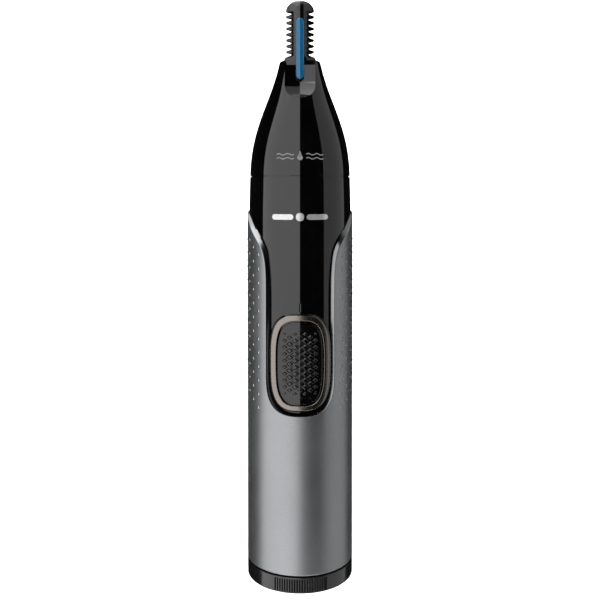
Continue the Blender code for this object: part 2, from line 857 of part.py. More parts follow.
clear_scene()
make_collections()
make_materials()
make_parts()
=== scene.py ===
"""Looks of the nose hair trimmer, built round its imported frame.

Lengths are millimetres turned into metres by MM. The long axis is +Z and the front faces -Y.
"""

import math

import bmesh
import bpy
import numpy as np
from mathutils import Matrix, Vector


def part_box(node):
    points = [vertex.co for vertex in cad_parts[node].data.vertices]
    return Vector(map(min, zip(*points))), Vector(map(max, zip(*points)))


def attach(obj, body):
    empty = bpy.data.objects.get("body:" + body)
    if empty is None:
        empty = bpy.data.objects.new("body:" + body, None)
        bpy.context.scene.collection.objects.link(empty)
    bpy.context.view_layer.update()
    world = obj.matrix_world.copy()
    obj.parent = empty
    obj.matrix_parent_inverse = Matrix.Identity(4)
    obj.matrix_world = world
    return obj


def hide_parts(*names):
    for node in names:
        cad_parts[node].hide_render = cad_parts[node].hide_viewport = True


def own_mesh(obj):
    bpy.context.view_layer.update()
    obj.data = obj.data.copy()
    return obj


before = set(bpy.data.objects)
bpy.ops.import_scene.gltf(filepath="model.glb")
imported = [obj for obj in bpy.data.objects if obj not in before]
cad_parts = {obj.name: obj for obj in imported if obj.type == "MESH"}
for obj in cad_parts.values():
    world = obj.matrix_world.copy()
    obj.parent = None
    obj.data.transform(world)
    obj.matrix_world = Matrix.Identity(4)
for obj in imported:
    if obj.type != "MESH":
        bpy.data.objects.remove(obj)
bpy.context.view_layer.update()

MM = 0.001

# Sizes shared with the frame, read from it where it knows them; others are radii and heights
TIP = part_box("comb_guard")[1][2] / MM
CAP_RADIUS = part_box("battery_cap")[1][0] / MM
SLEEVE_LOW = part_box("grip_sleeve")[0][2] / MM
SLEEVE_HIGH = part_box("grip_sleeve")[1][2] / MM
NECK_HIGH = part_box("body_housing")[1][2] / MM
HEAD_LOW = 99.32
RIM_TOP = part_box("head_shell")[1][2] / MM
NECK_SEAM = 99.16
CAP_TOP = 4.1
SLEEVE_TOP_RADIUS = 12.64
PANEL_BASE_RADIUS = 12.55
PANEL_BASE = 44.2
NECK_RADIUS = 12.22
NECK_TOP_RADIUS = 11.97
BORE = 10.5
CONE = ((11.97, 99.3), (11.6, 111.5), (6.9, 116.3), (4.8, 126.0))

FINE = 1.0


def mix(a, b, t):
    return a + (b - a) * t


def smooth(t):
    t = np.clip(t, 0.0, 1.0)
    return t * t * (3 - 2 * t)


def arc(t):
    """Quarter of a circle: rises steeply from 0 and levels out at 1."""
    return np.sqrt(1 - (1 - np.clip(t, 0.0, 1.0)) ** 2)


def count(number):
    return max(4, int(number * FINE))


# --- Mesh helpers


def add_object(name, data):
    made = bpy.data.objects.new(name, data)
    bpy.context.scene.collection.objects.link(made)
    return made


def clean_mesh(name, verts, faces, sharp=38.0):
    """A smooth mesh from points in millimetres; folds of more than sharp degrees stay crisp."""
    mesh = bpy.data.meshes.new(name)
    points = np.asarray(verts, dtype=float).reshape(-1, 3) * MM
    mesh.from_pydata(points.tolist(), [], [tuple(int(i) for i in f) for f in faces])
    mesh.validate()
    work = bmesh.new()
    work.from_mesh(mesh)
    bmesh.ops.remove_doubles(work, verts=work.verts, dist=2e-7)
    bmesh.ops.dissolve_degenerate(work, edges=work.edges, dist=1e-8)
    bmesh.ops.recalc_face_normals(work, faces=work.faces)
    work.to_mesh(mesh)
    work.free()
    mesh.shade_smooth()
    mesh.set_sharp_from_angle(angle=math.radians(sharp))
    return mesh


def piece(name, verts, faces, body, material, replaced=(), sharp=38.0):
    """Makes a mesh object, puts it on its body and gives it its finish."""
    made = add_object(name, clean_mesh(name, verts, faces, sharp))
    made.data.materials.append(material)
    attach(made, body)
    if replaced:
        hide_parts(*replaced)
    return made


def grid_faces(rows, columns, close_rows=False, close_columns=False, start=0):
    faces = []
    last_row = rows if close_rows else rows - 1
    last_column = columns if close_columns else columns - 1
    for i in range(last_row):
        after = (i + 1) % rows
        for j in range(last_column):
            beside = (j + 1) % columns
            corners = ((i, j), (i, beside), (after, beside), (after, j))
            faces.append(tuple(start + row * columns + column for row, column in corners))
    return faces


def grid_piece(name, grid, body, material, replaced=(), loops=(False, False), sharp=38.0):
    """A piece whose points are a (rows, columns, 3) array."""
    rows, columns = grid.shape[:2]
    faces = grid_faces(rows, columns, *loops)
    return piece(name, grid.reshape(-1, 3), faces, body, material, replaced, sharp)


def tube_piece(name, rings, body, material, replaced=(), sharp=38.0):
    """A piece whose rows are rings of points, with both ends filled."""
    rings = np.asarray(rings)
    rows, around = rings.shape[:2]
    faces = grid_faces(rows, around, False, True)
    faces.append(tuple(range(around)))
    faces.append(tuple((rows - 1) * around + k for k in range(around)))
    return piece(name, rings.reshape(-1, 3), faces, body, material, replaced, sharp)


def flat_ring(x, front, rear, z):
    """Ring of points at one height, along a front line and back along a rear one."""
    across = np.concatenate([x, x[::-1]])
    return np.stack([across, np.concatenate([front, rear[::-1]]), np.full(len(across), z)], axis=1)


def turned_points(profile, angles):
    """Rows are profile points (radius, height), columns are angles."""
    profile = np.asarray(profile, dtype=float)
    radius = profile[:, 0][:, None]
    height = np.repeat(profile[:, 1][:, None], len(angles), axis=1)
    return np.stack([radius * np.sin(angles), -radius * np.cos(angles), height], axis=-1)


def circle(number):
    return np.arange(number) * math.tau / number


def cubic(handles, number):
    t = np.linspace(0.0, 1.0, number + 1)[:, None]
    p = np.asarray(handles, dtype=float)
    return (1 - t) ** 3 * p[0] + 3 * t * (1 - t) ** 2 * p[1] + 3 * t * t * (1 - t) * p[2] + t**3 * p[3]


def resample(points, number):
    """Evenly spaced points along a polyline."""
    points = np.asarray(points, dtype=float)
    steps = np.linalg.norm(np.diff(points, axis=0), axis=1)
    along = np.concatenate([[0.0], np.cumsum(steps)])
    wanted = np.linspace(0.0, along[-1], number)
    return np.stack([np.interp(wanted, along, points[:, k]) for k in range(points.shape[1])], axis=1)


# --- Radii of the outer forms


def sleeve_radius(z):
    return mix(CAP_RADIUS, SLEEVE_TOP_RADIUS, (z - CAP_TOP) / (SLEEVE_HIGH - CAP_TOP))


def panel_radius(z):
    low = mix(PANEL_BASE_RADIUS, NECK_RADIUS, (z - PANEL_BASE) / (SLEEVE_HIGH - PANEL_BASE))
    high = mix(NECK_RADIUS, NECK_TOP_RADIUS, (z - SLEEVE_HIGH) / (NECK_HIGH - SLEEVE_HIGH))
    return np.where(z < SLEEVE_HIGH, low, high)


# --- Opening in the sleeve, as a curve of (angle from the front in degrees, height)

SIDE_ANGLE = 39.4
U_BOTTOM = 43.4
U_CENTRE = 53.0
U_POWER = 2.74
EDGE_RADIUS = 12.9  # turns an inset in millimetres into an angle
ARC = (12.8 * math.pi / 180, 1.0)  # millimetres per degree and per millimetre of height
BACK_EDGE = (104.0, 91.3)  # from this angle on the opening's edge is level


def opening_edge(inset, number):
    """Half of the opening's edge, from the middle of the U round to the back, set in by inset."""
    low = U_BOTTOM + 0.8 * inset
    turned = math.degrees(inset / EDGE_RADIUS)
    side = SIDE_ANGLE - turned
    turn = np.radians(np.linspace(0.0, 90.0, 60))
    across = side * np.sin(turn) ** (2 / U_POWER)
    down = (U_CENTRE - low) * np.cos(turn) ** (2 / U_POWER)
    bowl = np.stack([across, U_CENTRE - down], axis=1)
    shoulder = (60.0 - 0.6 * turned, 85.6 + inset)
    flare = cubic(
        (
            (side + 0.1, 75.0 + 0.2 * inset),
            (side + 0.7, 82.0 + 0.4 * inset),
            (46.0 - 0.8 * turned, 83.1 + 0.8 * inset),
            shoulder,
        ),
        60,
    )
    rise = cubic((shoulder, (74.0 - 0.4 * turned, 88.1 + 1.1 * inset), (84.0, 91.1), BACK_EDGE), 40)
    half = np.concatenate([bowl, flare, rise[1:], [(180.0, BACK_EDGE[1])]])
    return resample(half * ARC, number) / ARC


def both_halves(rows):
    """Mirrors rows of (angle, height, radius) into a full turn that starts and ends at the back."""
    left = rows[:, ::-1].copy()
    left[..., 0] *= -1
    return np.concatenate([left[:, :-1], rows], axis=1)[:, :-1]


def to_space(rows):
    angle = np.radians(rows[..., 0])
    radius = rows[..., 2]
    return np.stack([radius * np.sin(angle), -radius * np.cos(angle), rows[..., 1]], axis=-1)


EDGE_STEPS = count(190)
RIM_ROLL = 0.36  # radius of the sleeve's rounded lower rim
INSIDE_HEIGHT = 30.0  # how far up the sleeve's inside wall is made
CHAMFER = 0.84
CHAMFER_TURN = math.radians(57.0)
EDGE_ROLL = 0.26
BEVEL_START = 4  # row of the rolled edge where the smooth bevel begins
BEVEL_LIFT = 0.02
BEVEL_THICKNESS = 0.12
WALL = 1.1
PANEL_INSET = 1.66
PANEL_ROLL = 0.14
HOUSING_BASE = 5.2
HOUSING_FOOT = ((BORE + 0.1, 4.7), (11.7, 4.7), (11.85, 4.9))
HOUSING_TUCK = 1.42  # depth of the hidden part of the housing under the sleeve's skin
LIP_RADIUS = 11.65
LIP_DROP = 0.32
LINE_SPAN = (68.1, 70.2)  # bottom and top of the line above the button
STEM_WINDOW = (2.4, 50.6, 64.4)  # half width, bottom, top


def chamfer_section():
    """(inset, drop) points of the opening's edge: rolled over, then straight through the wall."""
    turns = np.linspace(0.0, CHAMFER_TURN, 8)
    points = [(EDGE_ROLL * math.sin(a), EDGE_ROLL * (1 - math.cos(a))) for a in turns]
    inset, drop = points[-1]
    for share in (0.33, 0.66, 1.0):
        far = mix(inset, CHAMFER, share)
        points.append((far, min(WALL, drop + (far - inset) * math.tan(CHAMFER_TURN))))
    return points


def row_at(angles, z, radius):
    """A row of points from angles, heights and radii, or one height and radius for all."""
    return np.stack(np.broadcast_arrays(angles, z, radius), axis=1)


def row_between(outer, inner, share, radius_at, drop):
    """A row of points partway between two lines, some depth below a surface."""
    angle = mix(outer[:, 0], inner[:, 0], share)
    z = mix(outer[:, 1], inner[:, 1], share)
    return row_at(angle, z, radius_at(z) - drop)


def make_sleeve(material):
    """Outer skin from the lower rim up to the opening, the opening's edge, and the inside wall."""
    edge = opening_edge(0.0, EDGE_STEPS)
    inner = opening_edge(CHAMFER, EDGE_STEPS)
    low_angle = np.linspace(0.0, 180.0, EDGE_STEPS)
    rim = SLEEVE_LOW + RIM_ROLL
    rows = []
    for depth, lift in ((WALL, INSIDE_HEIGHT), (WALL, 0.2), (WALL - 0.1, 0.04), (RIM_ROLL + 0.2, 0.0)):
        z = SLEEVE_LOW + lift
        rows.append(row_at(low_angle, z, sleeve_radius(z) - depth))
    for turn in np.radians(np.linspace(90.0, 10.0, 7)):
        z = rim - RIM_ROLL * math.sin(turn)
        rows.append(row_at(low_angle, z, sleeve_radius(z) - RIM_ROLL * (1 - math.cos(turn))))
    steps = count(80)
    for step in range(steps + 1):
        t = step / steps
        angle = mix(low_angle, edge[:, 0], smooth(t) * 0.3 + t * 0.7)
        z = mix(rim, edge[:, 1], t)
        rows.append(row_at(angle, z, sleeve_radius(z)))
    for inset, drop in chamfer_section()[1:] + [(CHAMFER, WALL)]:
        rows.append(row_between(edge, inner, inset / CHAMFER, sleeve_radius, drop))
    ring_piece("sleeve_skin", rows, material, ("grip_sleeve",))


def ring_piece(name, rows, material, replaced=()):
    """A piece of the body from rows of (angle, height, radius) for one half, closed on itself."""
    grid = to_space(both_halves(np.array(rows)))
    return grid_piece(name, grid, "body", material, replaced, (True, True), 35.0)


def make_bevel(material):
    """Smooth bevel that lines the opening's edge, a thin strip laid over the sleeve's cut."""
    edge = opening_edge(0.0, EDGE_STEPS)
    inner = opening_edge(CHAMFER, EDGE_STEPS)
    section = chamfer_section()[BEVEL_START:]
    strip = [(inset, drop - BEVEL_LIFT) for inset, drop in section]
    strip += [(inset, drop + BEVEL_THICKNESS) for inset, drop in reversed(section)]
    rows = []
    for inset, drop in strip:
        rows.append(row_between(edge, inner, inset / CHAMFER, sleeve_radius, drop))
    ring_piece("sleeve_bevel", rows, material)


def make_housing(material):
    """Gloss panel inside the opening and the neck above it, with a step that the sleeve hides."""
    start = opening_edge(PANEL_INSET - 0.12, EDGE_STEPS)
    inner = opening_edge(PANEL_INSET, EDGE_STEPS)
    top_angle = 180.0 * (np.linspace(0.0, 1.0, EDGE_STEPS) ** 1.6)
    low_angle = np.linspace(0.0, 180.0, EDGE_STEPS)
    floor = NECK_SEAM - LIP_DROP - 0.1
    rows = []
    for radius, z in ((BORE, floor), (BORE, HOUSING_BASE), *HOUSING_FOOT):
        rows.append(row_at(low_angle, z, radius))
    for t in (0.5, 1.0):
        z = mix(HOUSING_BASE, start[:, 1], t)
        rows.append(row_at(mix(low_angle, start[:, 0], t), z, sleeve_radius(z) - HOUSING_TUCK))
    for turn in np.radians((90.0, 65.0, 45.0, 25.0, 10.0)):
        drop = PANEL_ROLL * (1 - math.cos(turn))
        rows.append(row_between(start, inner, 1 - math.sin(turn), panel_radius, drop))
    steps = count(120)
    high = NECK_SEAM - 0.07
    for step in range(steps + 1):
        t = step / steps
        angle = mix(inner[:, 0], top_angle, smooth(t) * 0.5 + t * 0.5)
        z = mix(inner[:, 1], high, t)
        rows.append(row_at(angle, z, panel_radius(z)))
    for inset, lift in ((0.0, 0.05), (0.02, 0.07), (0.1, 0.07)):
        rows.append(row_at(top_angle, high + lift, panel_radius(high + lift) - inset))
    for radius, z in ((LIP_RADIUS + 0.12, NECK_SEAM), (LIP_RADIUS + 0.1, floor)):
        rows.append(row_at(top_angle, z, radius))
    housing = ring_piece("housing_skin", rows, material, ("body_housing",))
    carve(housing, [switch_line(), stem_window()], 20.0)


def switch_line():
    """Upright V groove above the button, as a cutter."""
    half, deep, proud = 0.24, 0.1, 0.01
    rings = []
    for z in LINE_SPAN:
        face = float(panel_radius(np.array(z)))
        outline = ((-half, 1.0), (-half, proud), (0.0, -deep), (half, proud), (half, 1.0))
        rings.append([(x, -face - out, z) for x, out in outline])
    return lofted_cutter("switch_line_cutter", rings)


def box_cutter(name, low, high):
    (x0, y0, z0), (x1, y1, z1) = low, high
    corners = ((x0, y0), (x1, y0), (x1, y1), (x0, y1))
    return lofted_cutter(name, [[(x, y, z) for x, y in corners] for z in (z0, z1)])


def stem_window():
    """Upright window behind the button, where the slider's stem goes through the panel."""
    half, low, high = STEM_WINDOW
    return box_cutter("stem_window_cutter", (-half, -16.0, low), (half, -9.0, high))


def lofted_cutter(name, rings):
    """A closed solid through rings of points, used to cut and then thrown away."""
    work = bmesh.new()
    rows = [[work.verts.new(Vector(point) * MM) for point in ring] for ring in rings]
    number = len(rows[0])
    for lower, upper in zip(rows, rows[1:]):
        for index in range(number):
            after = (index + 1) % number
            work.faces.new((lower[index], lower[after], upper[after], upper[index]))
    work.faces.new(rows[0])
    work.faces.new(rows[-1])
    bmesh.ops.triangulate(work, faces=work.faces)
    bmesh.ops.recalc_face_normals(work, faces=work.faces)
    mesh = bpy.data.meshes.new(name)
    work.to_mesh(mesh)
    work.free()
    return add_object(name, mesh)


def carve(target, cutters, sharp=35.0):
    """Cuts the cutters out of a piece, applies the result and removes the cutters."""
    for cutter in cutters:
        cut = target.modifiers.new(cutter.name, "BOOLEAN")
        cut.object = cutter
        cut.solver = "EXACT"
    graph = bpy.context.evaluated_depsgraph_get()
    mesh = bpy.data.meshes.new_from_object(target.evaluated_get(graph), depsgraph=graph)
    target.modifiers.clear()
    target.data = mesh
    mesh.shade_smooth()
    mesh.set_sharp_from_angle(angle=math.radians(sharp))
    for cutter in cutters:
        bpy.data.objects.remove(cutter, do_unlink=True)


# --- Head

SKIRT_LOW = 124.95
SEAT_FLOOR = SKIRT_LOW - 0.02
SEAT_RADIUS = 3.98
HEAD_RIM = (4.82, 0.32)  # radius of the rim, and of its rounding
HEAD_INSIDE = ((2.5, SEAT_FLOOR), (2.5, 116.8), (5.6, 114.2), (8.6, 108.0), (9.0, 97.0), (10.1, 97.0))
SCOOP_HALF = 3.55
SCOOP_BOTTOM = 117.0
SCOOP_ROUND = 3.2
SCOOP_FLOOR = 3.0
SCOOP_BEND = 123.6
SCOOP_SWEEP = 0.094  # how fast the floor curves out below the bend
SCOOP_HOLLOW = 24.0  # radius of the floor's slight hollow


def scoop_cutter(side):
    """A groove with straight sides, a rounded lower end and a floor that curves out below."""
    rings = []
    across = np.linspace(-1.0, 1.0, 33)
    shares = np.linspace(0.03, 1.0, count(50)) ** 1.5
    heights = [float(mix(SCOOP_BOTTOM, SCOOP_BEND, share)) for share in shares]
    for z in heights + [RIM_TOP + 2.0]:
        floor = SCOOP_FLOOR + SCOOP_SWEEP * max(0.0, SCOOP_BEND - z) ** 2
        share = min(1.0, max(0.0, (SCOOP_BOTTOM + SCOOP_ROUND - z) / SCOOP_ROUND))
        half = SCOOP_HALF * (1 - share**2.2) ** (1 / 2.2)
        x = across * half
        hollow = SCOOP_HOLLOW - np.sqrt(SCOOP_HOLLOW**2 - x**2)
        ring = [(float(a), side * (floor + float(h)), z) for a, h in zip(x, hollow)]
        rings.append([(-half, side * 14.0, z)] + ring + [(half, side * 14.0, z)])
    return lofted_cutter("scoop_cutter_%d" % side, rings)


def seat_notch(side):
    """Opens the scoop's upper end so that the guard's skirt shows over its full width."""
    half = SCOOP_HALF + 0.01
    low = (-half, side * 1.6, SEAT_FLOOR)
    return box_cutter("seat_notch_%d" % side, low, (half, side * 14.0, RIM_TOP + 2.5))


def make_head(material):
    """Turned cone with a rolled rim, a seat for the guard and a spigot below, then the two scoops."""
    curve = cubic(CONE, 400)
    cone = resample(curve, count(130))
    cone = cone[cone[:, 1] > HEAD_LOW + 0.09]
    cone = cone[cone[:, 1] < RIM_TOP - 0.5]
    low = float(np.interp(HEAD_LOW, curve[:, 1], curve[:, 0]))
    profile = [(low - 0.1, HEAD_LOW), (low - 0.03, HEAD_LOW + 0.02), (low, HEAD_LOW + 0.08)]
    profile += [tuple(point) for point in cone]
    outer, rim = HEAD_RIM
    for turn in np.radians(np.linspace(0, 90, 7)):
        profile.append((outer - rim * (1 - math.cos(turn)), RIM_TOP - rim + rim * math.sin(turn)))
    profile += [(SEAT_RADIUS + 0.07, RIM_TOP), (SEAT_RADIUS, RIM_TOP - 0.07)]
    profile.append((SEAT_RADIUS, SEAT_FLOOR))
    profile += HEAD_INSIDE
    profile += [(HEAD_INSIDE[-1][0], HEAD_LOW - LIP_DROP)]
    profile += [(LIP_RADIUS, HEAD_LOW - LIP_DROP), (LIP_RADIUS, HEAD_LOW)]
    grid = turned_points(profile, circle(4 * count(64)))
    both = (True, True)
    head = grid_piece("head_skin", grid, "head", material, ("head_shell",), both, 35.0)
    carve(head, [scoop_cutter(-1), scoop_cutter(1), seat_notch(-1), seat_notch(1)], 28.0)


# --- Comb guard

GAP_COUNT = 8
GAP_TOP = 136.87
GAP_PITCH = 1.326
GAP_HALF = 0.37  # half height of a gap at its mouth
GUARD_HALF = 3.33
ROOT_HALF = 1.85
ROOT_ROUND = 0.22
ROOT_HEIGHT = 0.12  # half height of a gap at its root
TIP_ROUND = 0.24
WING = 0.36  # half depth of the teeth at their tips
WING_RISE = 0.2
STRIP_HALF = 0.95
CORE_FLAT = 0.8
CORE_FALL = 0.8  # slope of the core's sides
CORE_HALF = 1.72  # where the core drops to the teeth
CORE_DROP = 6.0
DOME_CORE_HALF = 2.6
CORE = ((127.0, 3.1), (137.0, 2.25))
SKIRT_TURN = 126.02
SHOULDER_LOW = 126.72
SHOULDER_HIGH = 127.1
PLUG_HALF = 3.93
SKIRT_DEPTH = 3.1
FOOT_HALF = 3.5
FOOT_FALL = 0.2
ROOF_FALL = 0.66
WING_FILLET = 0.2
TOOTH_ROUND = 0.3  # how far in from a tooth's end it starts to thin
DOME_LOW = 137.33
SLOT_LOW = 126.75  # the blade's slot is open to both sides between these heights
SLOT_HIGH = 137.85
BLADE_ROOM = 0.2  # half the slot's depth
BLADE_ROOT_HALF = 2.85  # half width of the slot where it passes the skirt


def guard_half_depth(z):
    (low, deep), (high, shallow) = CORE
    return mix(deep, shallow, (z - low) / (high - low))


def guard_rows():
    """(height, half width) pairs up the edge: skirt, gaps, teeth with round tips, dome."""
    rows = [(SKIRT_LOW, 3.7), (SKIRT_LOW + 0.12, 3.85), (SKIRT_TURN - 0.3, 3.88), (SKIRT_TURN, 3.88)]
    for turn in np.radians(np.linspace(0, 90, 6)):
        rows.append((SKIRT_TURN + 0.02 + 0.14 * math.sin(turn), 3.9 - 0.14 * (1 - math.cos(turn))))
    low = GAP_TOP - GAP_PITCH * (GAP_COUNT - 1)
    rows += [(126.5, 3.68), (126.7, 3.56), (126.8, 3.5), (126.9, 3.44), (127.0, 3.38)]
    rows += [(low - GAP_HALF - 0.1, 3.3), (low - GAP_HALF - 0.02, 3.2)]
    tooth = GAP_PITCH / 2 - GAP_HALF
    for gap in range(GAP_COUNT):
        z = low + GAP_PITCH * gap
        rows.append((z - GAP_HALF, GUARD_HALF - TIP_ROUND))
        for share in (-1.0, -0.9, -0.6, 0.0, 0.6, 0.9, 1.0):
            root = ROOT_HALF + ROOT_ROUND * (1 - math.sqrt(1 - share**2))
            rows.append((z + share * ROOT_HEIGHT, root))
        rows.append((z + GAP_HALF, GUARD_HALF - TIP_ROUND))
        if gap < GAP_COUNT - 1:
            for share in (-0.95, -0.8, -0.5, 0.0, 0.5, 0.8, 0.95):
                tip = GUARD_HALF - TIP_ROUND * (1 - math.sqrt(1 - share**2))
                rows.append((z + GAP_PITCH / 2 + share * tooth, tip))
    rise = TIP - DOME_LOW
    rows.append((DOME_LOW + 0.02, GUARD_HALF - 0.12))
    for turn in np.radians(np.linspace(1.5, 88.0, count(34))):
        z = DOME_LOW + 0.04 + (rise - 0.045) * math.sin(turn)
        rows.append((z, GUARD_HALF * math.cos(turn) ** 0.92))
    return rows


def plug_depth(x, z):
    """Half depth of the skirt: a shallow roof in front, steeper above the shoulder."""
    out = np.abs(x)
    seat = np.sqrt(np.clip(PLUG_HALF**2 - x**2, 0, None))
    foot = np.where(out < FOOT_HALF, SKIRT_DEPTH - FOOT_FALL * out, seat)
    steep = SKIRT_DEPTH - ROOF_FALL * np.maximum(out - STRIP_HALF, 0)
    roof = np.minimum(steep, SKIRT_DEPTH - FOOT_FALL * out)
    return foot if z < SKIRT_TURN + 0.01 else roof


def guard_depth(x, z, half):
    deep = guard_half_depth(min(z, DOME_LOW))
    out = np.abs(x)
    size = 1.0
    if z > DOME_LOW:
        size = math.sqrt(max(0.0, 1 - ((z - DOME_LOW) / (TIP - DOME_LOW + 0.002)) ** 2))
    reach = CORE_HALF if z < DOME_LOW else DOME_CORE_HALF
    core = deep - 0.06 * out - CORE_FALL * np.maximum(out - CORE_FLAT, 0)
    core = core - CORE_DROP * np.maximum(out - reach, 0)
    wing = WING + WING_RISE * (GUARD_HALF - out)
    lobed = 0.5 * (core + wing + np.sqrt((core - wing) ** 2 + WING_FILLET**2)) * size
    lobed = lobed * (0.45 + 0.55 * arc((half - out) / TOOTH_ROUND))
    share = smooth((z - SHOULDER_LOW) / (SHOULDER_HIGH - SHOULDER_LOW))
    return mix(plug_depth(x, z), lobed, share)


def make_guard(material):
    u = np.sin(np.radians(np.linspace(-90, 90, 45)))
    rings = []
    for z, half in guard_rows():
        x = half * u
        y = np.maximum(guard_depth(x, z, half), 0.02)
        y[0] = y[-1] = y[1] * 0.4
        rings.append(flat_ring(x, -y, y, z))
    guard = tube_piece("guard_skin", rings, "head", material, ("comb_guard",), 32.0)
    slot = box_cutter("guard_slot_cutter", (-5.0, -BLADE_ROOM, SLOT_LOW), (5.0, BLADE_ROOM, SLOT_HIGH))
    half, room = BLADE_ROOT_HALF, BLADE_ROOM - 0.01
    low, high = (-half, -room, SKIRT_LOW - 1.0), (half, room, SLOT_LOW + 0.45)
    root = box_cutter("guard_root_cutter", low, high)
    carve(guard, [slot, root], 32.0)


STRIP_LOW = 121.55
STRIP_HIGH = 135.62
STRIP_ROUND = 0.3  # radius of its long edges
STRIP_RIDGE = 0.3  # height of the ridge along its middle


def make_strip(side, material, node):
    """Blue insert: a ridged bar with round ends, standing off the guard's core."""
    end = STRIP_HALF * (1 - np.cos(np.radians(np.linspace(3, 90, 14))))
    between = np.linspace(STRIP_LOW + STRIP_HALF, STRIP_HIGH - STRIP_HALF, 40)[1:-1]
    heights = np.concatenate([STRIP_LOW + end, between, STRIP_HIGH - end[::-1]])
    u = np.array([-1.0, -0.985, -0.94, -0.86, -0.7, -0.45, -0.2, -0.06, 0.0])
    u = np.concatenate([u, -u[-2::-1]])
    rows = []
    for z in heights:
        reach = min(z - STRIP_LOW, STRIP_HIGH - z, STRIP_HALF)
        half = STRIP_HALF * arc(reach / STRIP_HALF)
        back = guard_half_depth(z) + 0.06
        from_edge = (1 - np.abs(u)) * half
        shoulder = STRIP_ROUND * arc(from_edge / STRIP_ROUND)
        ridge = STRIP_RIDGE * (1 - np.abs(u)) * (half / STRIP_HALF)
        y = back + 0.02 + shoulder + ridge
        rows.append(flat_ring(half * u, side * y, np.full(len(u), side * back), z))
    tube_piece(node + "_skin", rows, "head", material, (node,), 24.0)


# --- Slide button

BUTTON_POWER = 3.3


def barrel(half, bottom, top, number):
    """Outline of the button: an upright superellipse, as (x, z)."""
    middle = (bottom + top) / 2
    reach = (top - bottom) / 2
    turn = np.linspace(0, math.tau, 4001)[:-1]
    s = np.sin(turn)
    c = np.cos(turn)
    x = half * np.sign(s) * np.abs(s) ** (2 / BUTTON_POWER)
    z = middle + reach * np.sign(c) * np.abs(c) ** (2 / BUTTON_POWER)
    ring = np.stack([x, z], axis=1)
    return resample(np.concatenate([ring, ring[:1]]), number + 1)[:-1]


def on_panel(x, z, lift, flatness=1.0):
    """Points over the panel; a flatness below one turns the face less than the panel does."""
    radius = panel_radius(z) + lift
    fall = radius - np.sqrt(np.clip(radius**2 - x**2, 0, None))
    return np.stack([x, fall * flatness - radius, z], axis=-1)


BEZEL = (6.9, 45.05, 67.5)  # half width, bottom, top
PAD = (5.25, 46.45, 65.86)
BEZEL_FACE = 0.66  # lift of the ring's face off the panel
PAD_FACE = 0.5
SHADOW_FOOT_LIFT = 0.46
SHADOW_FOOT_OUT = 0.3
BUTTON_FLATNESS = 0.9


def make_bezel(material, foot):
    """Flat ring round the pad with small bevels on both edges, on a dark foot that slopes outward; the
    foot is painted shadow round the ring's outer edge.
    """
    around = count(260)
    section = [(0.0, 0.08), (0.0, 0.5), (0.02, 0.58), (0.06, 0.63)]
    section += [(share, BEZEL_FACE) for share in (0.12, 0.3, 0.5, 0.66)]
    section += [(0.72, 0.63), (0.76, 0.57), (0.78, 0.48), (0.78, 0.08)]
    rows = []
    for share, lift in section:
        half, low, high = (mix(outer, inner, share) for outer, inner in zip(BEZEL, PAD))
        outline = barrel(half, low, high, around)
        rows.append(on_panel(outline[:, 0], outline[:, 1], lift, BUTTON_FLATNESS))
    both = (True, True)
    grid = np.array(rows)
    grid_piece("bezel_skin", grid, "switch", material, ("button_bezel",), both, 30.0)
    # Dark sloping foot in the pad's black: a painted contact shadow round the ring.
    rows = []
    for out, lift, flatness in (
        (-0.2, 0.02, 1.0),
        (-0.2, 0.4, BUTTON_FLATNESS),
        (0.02, SHADOW_FOOT_LIFT, BUTTON_FLATNESS),
        (0.12, 0.3, mix(BUTTON_FLATNESS, 1.0, 0.4)),
        (SHADOW_FOOT_OUT, 0.04, 1.0),
        (SHADOW_FOOT_OUT, 0.02, 1.0),
    ):
        outline = barrel(BEZEL[0] + out, BEZEL[1] - out, BEZEL[2] + out, around)
        rows.append(on_panel(outline[:, 0], outline[:, 1], lift, flatness))
    grid_piece("bezel_shadow_foot", np.array(rows), "switch", foot, (), both, 30.0)


DIAMOND_COLUMNS = (0.0, 1.22, 2.44, 3.56)
DIAMOND_SIZE = ((0.98, 0.7), (1.0, 0.72), (0.9, 0.66), (0.64, 0.5))
DIAMOND_PITCH = 1.56
DIAMOND_REACH = (8.2, 8.4, 7.6, 7.2)
DIAMOND_LIFT = 0.26
DIAMOND_SIDE = 0.42  # share of a diamond taken up by its sloping sides


def diamond_lift(x, z):
    """Rows of small flat topped pyramids, smaller towards the ends and the sides."""
    lift = np.zeros_like(x)
    middle = (PAD[1] + PAD[2]) / 2
    for column, (place, (wide, tall)) in enumerate(zip(DIAMOND_COLUMNS, DIAMOND_SIZE)):
        shift = 0.5 * DIAMOND_PITCH if column % 2 else 0.0
        near = middle + shift + np.round((z - middle - shift) / DIAMOND_PITCH) * DIAMOND_PITCH
        away = np.abs(near - middle)
        keep = away < DIAMOND_REACH[column]
        shrink = 1 - 0.62 * smooth((away - 4.6) / 3.8)
        for side in (-1, 1):
            d = np.abs(x - side * place) / (wide * shrink) + np.abs(z - near) / (tall * shrink)
            bump = DIAMOND_LIFT * (0.35 + 0.65 * shrink) * np.clip((1.0 - d) / DIAMOND_SIDE, 0, 1)
            lift = np.maximum(lift, np.where(keep, bump, 0))
    return lift


